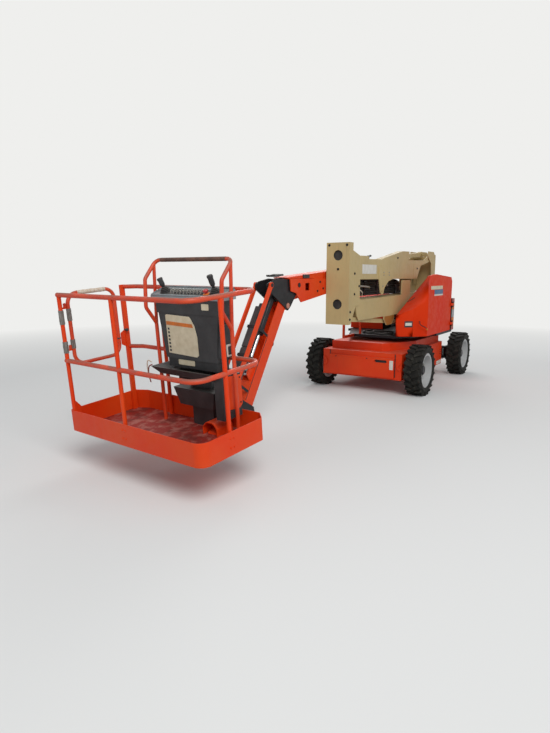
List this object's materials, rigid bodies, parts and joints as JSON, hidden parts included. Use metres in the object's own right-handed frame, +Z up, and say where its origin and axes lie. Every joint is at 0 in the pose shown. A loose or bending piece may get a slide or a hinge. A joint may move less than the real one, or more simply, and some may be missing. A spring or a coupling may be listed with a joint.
{
  "type": "articulating boom lift",
  "caption": "Self-propelled articulating boom lift: lugged tyres, slewing turntable with folded tower linkage, telescoping main boom, hinged jib and a railed work platform, stowed.",
  "frame": {"origin": "middle of the whole machine's box, on the ground", "axes": "+X forward to the work platform, +Y to the machine's left, +Z up"},
  "size_m": [7.0636, 1.75, 2.03],
  "materials": {
    "orange": "glossy orange-red enamel, dusty",
    "cream": "satin cream enamel, weathered",
    "black_paint": "satin black enamel",
    "grey_paint": "satin grey enamel",
    "rim_paint": "pale enamel with dried mud",
    "tyre": "black rubber, dusty",
    "steel": "machined steel",
    "chrome": "polished hard chrome",
    "plastic": "moulded dark plastic",
    "battery": "plain battery block"
  },
  "bodies": {
    "chassis": {"chassis": "orange", "front_cover": "orange", "slew_ring": "steel", "drive_axle": "black_paint", "steer_axle": "black_paint"},
    "knuckle_left": {"knuckle_left": "black_paint"},
    "knuckle_right": {"knuckle_right": "black_paint"},
    "tie_rod": {"tie_rod": "steel"},
    "turntable": {"turntable": "black_paint", "counterweight": "black_paint", "batteries": "battery"},
    "platform": {"platform_pan": "orange", "platform_top_rail": "orange", "platform_mid_rail": "orange", "platform_posts": "orange", "console": "plastic", "console_panel": "grey_paint", "console_guard": "orange", "foot_switch": "orange", "platform_mount": "black_paint"},
    "wheel_front_left": {"rim_front_left": "rim_paint", "tyre_front_left": "tyre"},
    "wheel_front_right": {"rim_front_right": "rim_paint", "tyre_front_right": "tyre"},
    "wheel_rear_left": {"rim_rear_left": "rim_paint", "tyre_rear_left": "tyre"},
    "wheel_rear_right": {"rim_rear_right": "rim_paint", "tyre_rear_right": "tyre"},
    "tower_lift_ram_barrel": {"tower_lift_barrel": "black_paint"},
    "tower_lift_ram_rod": {"tower_lift_rod": "chrome"},
    "boom_lift_ram_barrel": {"boom_lift_barrel": "black_paint"},
    "boom_lift_ram_rod": {"boom_lift_rod": "chrome"},
    "jib_lift_ram_barrel": {"jib_lift_barrel": "black_paint"},
    "jib_lift_ram_rod": {"jib_lift_rod": "chrome"},
    "hood_left": {"hood_left": "orange"},
    "hood_right": {"hood_right": "orange"},
    "lower_tower": {"lower_tower": "cream"},
    "lower_link": {"lower_link": "cream"},
    "mid_upright": {"mid_upright": "cream"},
    "upper_tower": {"upper_tower": "cream"},
    "upper_link": {"upper_link": "cream"},
    "rear_upright": {"rear_upright": "cream"},
    "main_boom": {"main_boom": "orange"},
    "fly_boom": {"fly_boom": "orange"},
    "level_bracket": {"level_bracket": "black_paint"},
    "jib_beam": {"jib_beam": "orange"},
    "jib_link": {"jib_link": "orange"},
    "jib_support": {"jib_support": "black_paint"},
    "gate": {"gate": "orange"}
  },
  "joints": [
    {"name": "swing", "type": "hinge", "parent": "chassis", "child": "turntable", "pos_m": [-2.17786, 0, 0.752], "axis": [0, 0, 1], "range_deg": [-180, 180]},
    {"name": "steer_left", "type": "hinge", "parent": "chassis", "child": "knuckle_left", "pos_m": [-3.18286, 0.56, 0.354], "axis": [0, 0, 1], "range_deg": [-30, 30]},
    {"name": "steer_right", "type": "hinge", "parent": "chassis", "child": "knuckle_right", "pos_m": [-3.18286, -0.56, 0.354], "axis": [0, 0, 1], "range_deg": [-30, 30]},
    {"name": "tie_rod_slide", "type": "slide", "parent": "chassis", "child": "tie_rod", "axis": [0, 1, 0], "range_m": [-0.08, 0.08]},
    {"name": "wheel_front_left", "type": "hinge", "parent": "chassis", "child": "wheel_front_left", "pos_m": [-1.17286, 0.755, 0.354], "axis": [0, 1, 0], "continuous": true},
    {"name": "wheel_front_right", "type": "hinge", "parent": "chassis", "child": "wheel_front_right", "pos_m": [-1.17286, -0.755, 0.354], "axis": [0, 1, 0], "continuous": true},
    {"name": "wheel_rear_left", "type": "hinge", "parent": "knuckle_left", "child": "wheel_rear_left", "pos_m": [-3.18286, 0.755, 0.354], "axis": [0, 1, 0], "continuous": true},
    {"name": "wheel_rear_right", "type": "hinge", "parent": "knuckle_right", "child": "wheel_rear_right", "pos_m": [-3.18286, -0.755, 0.354], "axis": [0, 1, 0], "continuous": true},
    {"name": "tower_lift", "type": "hinge", "parent": "turntable", "child": "lower_tower", "pos_m": [-2.73786, 0.21, 1.11], "axis": [0, -1, 0], "range_deg": [0, 68]},
    {"name": "lower_link_turn", "type": "hinge", "parent": "turntable", "child": "lower_link", "pos_m": [-2.57786, 0.285, 0.89], "axis": [0, -1, 0], "range_deg": [0, 69]},
    {"name": "mid_level", "type": "hinge", "parent": "lower_tower", "child": "mid_upright", "pos_m": [0.06214, 0.21, 1.35], "axis": [0, -1, 0], "range_deg": [-69, 0]},
    {"name": "upper_tower_turn", "type": "hinge", "parent": "mid_upright", "child": "upper_tower", "pos_m": [0.06214, 0.21, 1.69], "axis": [0, -1, 0], "range_deg": [-69, 0]},
    {"name": "upper_link_turn", "type": "hinge", "parent": "mid_upright", "child": "upper_link", "pos_m": [0.18214, 0.21, 1.752], "axis": [0, -1, 0], "range_deg": [-69, 0]},
    {"name": "rear_level", "type": "hinge", "parent": "upper_tower", "child": "rear_upright", "pos_m": [-2.73786, 0.21, 1.93], "axis": [0, -1, 0], "range_deg": [0, 69]},
    {"name": "tower_lift_ram_turn", "type": "hinge", "parent": "turntable", "child": "tower_lift_ram_barrel", "pos_m": [-2.50786, 0.135, 0.868], "axis": [0, -1, 0], "range_deg": [-1, 69.74]},
    {"name": "tower_lift_ram_stroke", "type": "slide", "parent": "tower_lift_ram_barrel", "child": "tower_lift_ram_rod", "axis": [0.9931, 0, 0.1176], "range_m": [-0.005, 0.3781]},
    {"name": "boom_lift", "type": "hinge", "parent": "rear_upright", "child": "main_boom", "pos_m": [-2.81786, -0.052, 1.82], "axis": [0, -1, 0], "range_deg": [0, 78]},
    {"name": "boom_lift_ram_turn", "type": "hinge", "parent": "rear_upright", "child": "boom_lift_ram_barrel", "pos_m": [-2.69786, -0.052, 1.33], "axis": [0, -1, 0], "range_deg": [-1, 67.16]},
    {"name": "boom_lift_ram_stroke", "type": "slide", "parent": "boom_lift_ram_barrel", "child": "boom_lift_ram_rod", "axis": [0.9891, 0, 0.1475], "range_m": [-0.005, 0.5697]},
    {"name": "fly_extend", "type": "slide", "parent": "main_boom", "child": "fly_boom", "axis": [0.9972, 0, -0.075], "range_m": [0, 1.3]},
    {"name": "bracket_level", "type": "hinge", "parent": "fly_boom", "child": "level_bracket", "pos_m": [0.94214, -0.052, 1.545], "axis": [0, -1, 0], "range_deg": [-79, 0]},
    {"name": "jib_lift", "type": "hinge", "parent": "level_bracket", "child": "jib_beam", "pos_m": [1.14014, -0.052, 1.325], "axis": [0, -1, 0], "range_deg": [-3, 72]},
    {"name": "jib_link_turn", "type": "hinge", "parent": "level_bracket", "child": "jib_link", "pos_m": [1.48819, -0.052, 1.55103], "axis": [0, -1, 0], "range_deg": [-4, 73]},
    {"name": "jib_level", "type": "hinge", "parent": "jib_beam", "child": "jib_support", "pos_m": [1.81549, -0.052, 0.28505], "axis": [0, -1, 0], "range_deg": [-73, 4]},
    {"name": "jib_lift_ram_turn", "type": "hinge", "parent": "level_bracket", "child": "jib_lift_ram_barrel", "pos_m": [1.2528, -0.052, 1.55913], "axis": [0, -1, 0], "range_deg": [-4.08, 74.82]},
    {"name": "jib_lift_ram_stroke", "type": "slide", "parent": "jib_lift_ram_barrel", "child": "jib_lift_ram_rod", "axis": [0.5398, 0, -0.8418], "range_m": [-0.3092, 0.0177]},
    {"name": "platform_turn", "type": "hinge", "parent": "jib_support", "child": "platform", "pos_m": [2.38538, -0.052, 0.41948], "axis": [0.0872, 0, 0.9962], "range_deg": [-85.6, 94.4]},
    {"name": "gate_turn", "type": "hinge", "parent": "platform", "child": "gate", "pos_m": [3.24773, -0.76776, 0.34404], "axis": [0.0872, 0, 0.9962], "range_deg": [-90, 0]},
    {"name": "hood_left_open", "type": "hinge", "parent": "turntable", "child": "hood_left", "pos_m": [-2.61786, 0.772, 1.2], "axis": [0, 0, 1], "range_deg": [0, 80]},
    {"name": "hood_right_open", "type": "hinge", "parent": "turntable", "child": "hood_right", "pos_m": [-2.61786, -0.772, 1.1], "axis": [0, 0, 1], "range_deg": [-80, 0]}
  ],
  "couplings": [
    {"joint": "steer_right", "follows": "steer_left", "ratio": 1},
    {"joint": "tie_rod_slide", "follows": "steer_left", "m_per_rad": 0.143},
    {"joint": "lower_link_turn", "follows": "tower_lift", "ratio": 1},
    {"joint": "mid_level", "follows": "tower_lift", "ratio": -1},
    {"joint": "upper_tower_turn", "follows": "tower_lift", "ratio": -1},
    {"joint": "upper_link_turn", "follows": "tower_lift", "ratio": -1},
    {"joint": "rear_level", "follows": "tower_lift", "ratio": 1},
    {"joint": "tower_lift_ram_turn", "follows": "tower_lift", "ratio": 1.0109},
    {"joint": "tower_lift_ram_stroke", "follows": "tower_lift", "m_per_rad": 0.31434},
    {"joint": "boom_lift_ram_turn", "follows": "boom_lift", "ratio": 0.84814},
    {"joint": "boom_lift_ram_stroke", "follows": "boom_lift", "m_per_rad": 0.4148},
    {"joint": "bracket_level", "follows": "boom_lift", "ratio": -1},
    {"joint": "jib_link_turn", "follows": "jib_lift", "ratio": 1},
    {"joint": "jib_level", "follows": "jib_lift", "ratio": -1},
    {"joint": "jib_lift_ram_turn", "follows": "jib_lift", "ratio": 1.0253},
    {"joint": "jib_lift_ram_stroke", "follows": "jib_lift", "m_per_rad": -0.24207}
  ]
}
